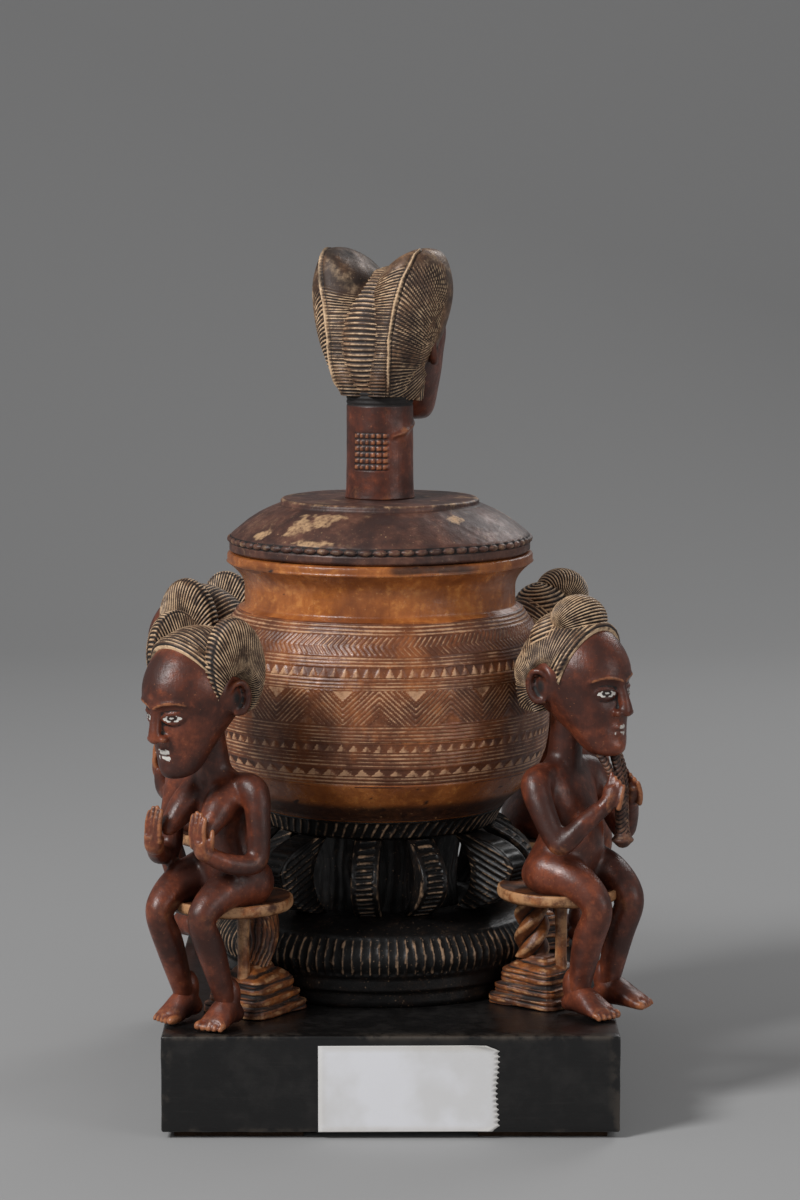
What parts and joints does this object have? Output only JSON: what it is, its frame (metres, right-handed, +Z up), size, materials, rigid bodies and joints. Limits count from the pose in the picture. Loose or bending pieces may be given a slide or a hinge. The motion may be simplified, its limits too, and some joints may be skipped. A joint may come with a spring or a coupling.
{
  "type": "ointment cup",
  "caption": "Lidded wooden ointment cup: a round engraved bowl on a pierced stand ringed by seated figures on stools, a carved head rising from the lid, on a display plinth.",
  "frame": {"origin": "middle of the plinth's footprint, on the surface that the felt pads stand on", "axes": "+Z up, -Y towards the viewer and the plinth's long front face with the paper label, +X to the viewer's right"},
  "size_m": [0.2603, 0.272, 0.417],
  "materials": {
    "plinth_black": "satin black paint over faint grain",
    "felt": "dull brown felt",
    "stand_black": "blackened wood, worn pale on the carved ribs",
    "bowl_wood": "golden brown polished wood with cut bands of pattern",
    "lid_wood": "dark purplish brown wood, worn to tan in patches",
    "skin_wood": "glossy reddish brown wood, worn at knees, hands and feet",
    "hair_wood": "dry tan wood with black grooves",
    "stool_wood": "worn orange brown wood, dark in the cuts"
  },
  "bodies": {
    "vessel": {"plinth": "plinth_black", "felt_pad_front_left": "felt", "felt_pad_front_right": "felt", "felt_pad_back_left": "felt", "felt_pad_back_right": "felt", "stand_base": "stand_black", "stand_core": "stand_black", "stand_collar": "stand_black", "bowl": "bowl_wood", "stand_strut_1": "stand_black", "stand_strut_2": "stand_black", "stand_strut_3": "stand_black", "stand_strut_4": "stand_black", "stand_strut_5": "stand_black", "stand_strut_6": "stand_black", "stand_strut_7": "stand_black", "stand_strut_8": "stand_black", "stand_bracket_front_left": "stand_black", "stand_bracket_front_right": "stand_black", "stand_bracket_back_left": "stand_black", "stand_bracket_back_right": "stand_black", "stool_front_left": "stool_wood", "stool_front_right": "stool_wood", "stool_back_left": "stool_wood", "stool_back_right": "stool_wood", "figure_front_left": "skin_wood", "figure_front_right": "skin_wood", "figure_back_left": "skin_wood", "figure_back_right": "skin_wood", "coiffure_front_left": "hair_wood", "coiffure_front_right": "hair_wood", "coiffure_back_left": "hair_wood", "coiffure_back_right": "hair_wood", "beard_front_right": "hair_wood", "beard_back_right": "hair_wood"},
    "lid_seat": {"lid_flange": "lid_wood"},
    "lid": {"lid_dome": "lid_wood", "lid_head": "skin_wood", "lid_coiffure": "hair_wood"}
  },
  "joints": [
    {"name": "lid_lift", "type": "slide", "parent": "vessel", "child": "lid_seat", "axis": [0, 0, 1], "range_m": [0, 0.1]},
    {"name": "lid_turn", "type": "hinge", "parent": "lid_seat", "child": "lid", "pos_m": [-0.0056, 0, 0.265], "axis": [0, 0, 1], "continuous": true}
  ]
}
